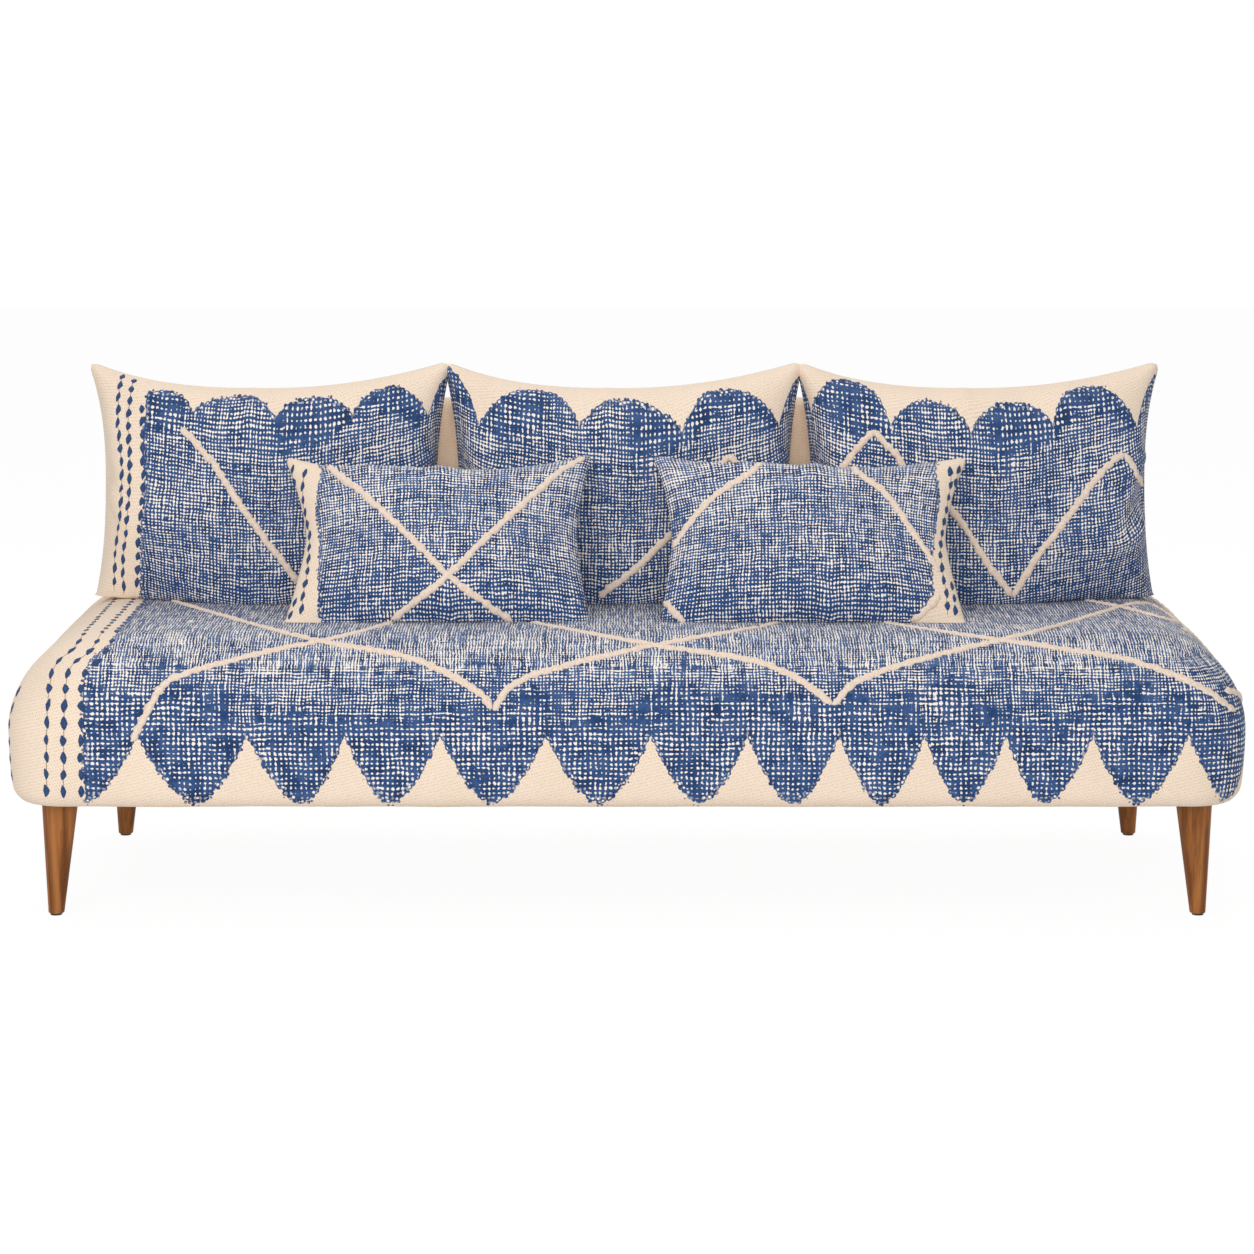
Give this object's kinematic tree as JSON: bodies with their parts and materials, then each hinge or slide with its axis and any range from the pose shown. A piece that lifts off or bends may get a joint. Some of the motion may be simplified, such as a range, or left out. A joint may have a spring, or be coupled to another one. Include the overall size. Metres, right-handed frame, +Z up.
{
  "type": "majlis floor sofa",
  "caption": "Long armless majlis sofa on tapered wooden legs, with a round-edged printed cotton seat, a low padded back, loose back cushions and lumbar cushions.",
  "frame": {"origin": "on the floor, under the middle of the seat", "axes": "+X along the sofa to a sitter's left, which is the right of the picture; +Y from the front to the back; +Z up"},
  "size_m": [2.0004, 0.7402, 0.857],
  "materials": {
    "printed_seat_cloth": "matte",
    "printed_cushion_cloth": "matte",
    "plain_cotton": "matte",
    "fibre_fill": "matte",
    "foam": "matte",
    "underlining": "matte",
    "walnut_leg": "satin",
    "glide_plastic": "matte",
    "plywood": "matte",
    "zinc_steel": "satin",
    "frame_timber": "matte"
  },
  "bodies": {
    "base": {"back_post_1": "frame_timber", "back_post_2": "frame_timber", "back_post_3": "frame_timber", "back_post_4": "frame_timber", "backrest_bottom_rail_1": "frame_timber", "backrest_bottom_rail_2": "frame_timber", "backrest_bottom_rail_3": "frame_timber", "backrest_cover": "plain_cotton", "backrest_foam": "foam", "backrest_panel": "plywood", "backrest_top_rail": "frame_timber", "backrest_wadding": "fibre_fill", "corner_block_front_left": "frame_timber", "corner_block_front_right": "frame_timber", "corner_block_rear_left": "frame_timber", "corner_block_rear_right": "frame_timber", "cross_rail_1": "frame_timber", "cross_rail_2": "frame_timber", "cross_rail_3": "frame_timber", "deck": "plywood", "deck_screws": "zinc_steel", "dust_cover": "underlining", "edge_padding": "fibre_fill", "front_rail": "frame_timber", "hanger_bolts": "zinc_steel", "left_end_rail": "frame_timber", "leg_front_left": "walnut_leg", "leg_front_right": "walnut_leg", "leg_glides": "glide_plastic", "leg_rear_left": "walnut_leg", "leg_rear_right": "walnut_leg", "panel_screws": "zinc_steel", "post_bolts": "zinc_steel", "post_nuts": "zinc_steel", "rear_rail": "frame_timber", "right_end_rail": "frame_timber", "seat_cover": "printed_seat_cloth", "seat_foam": "foam", "threaded_inserts": "zinc_steel"},
    "back_cushion_centre": {"back_cushion_centre_cover": "printed_cushion_cloth", "back_cushion_centre_fill": "fibre_fill"},
    "back_cushion_left": {"back_cushion_left_cover": "printed_cushion_cloth", "back_cushion_left_fill": "fibre_fill"},
    "back_cushion_right": {"back_cushion_right_cover": "printed_cushion_cloth", "back_cushion_right_fill": "fibre_fill"},
    "lumbar_cushion_left": {"lumbar_cushion_left_cover": "printed_cushion_cloth", "lumbar_cushion_left_fill": "fibre_fill"},
    "lumbar_cushion_right": {"lumbar_cushion_right_cover": "printed_cushion_cloth", "lumbar_cushion_right_fill": "fibre_fill"}
  },
  "joints": [
    {"name": "back_cushion_centre_lift", "type": "slide", "parent": "base", "child": "back_cushion_centre", "axis": [0, 0.1908, 0.9816], "range_m": [0, 0.45]},
    {"name": "back_cushion_left_lift", "type": "slide", "parent": "base", "child": "back_cushion_left", "axis": [0, 0.1908, 0.9816], "range_m": [0, 0.45]},
    {"name": "back_cushion_right_lift", "type": "slide", "parent": "base", "child": "back_cushion_right", "axis": [0, 0.1908, 0.9816], "range_m": [0, 0.45]},
    {"name": "lumbar_cushion_left_lift", "type": "slide", "parent": "base", "child": "lumbar_cushion_left", "axis": [0, -0.4226, 0.9063], "range_m": [0, 0.35]},
    {"name": "lumbar_cushion_right_lift", "type": "slide", "parent": "base", "child": "lumbar_cushion_right", "axis": [0, -0.4226, 0.9063], "range_m": [0, 0.35]}
  ]
}
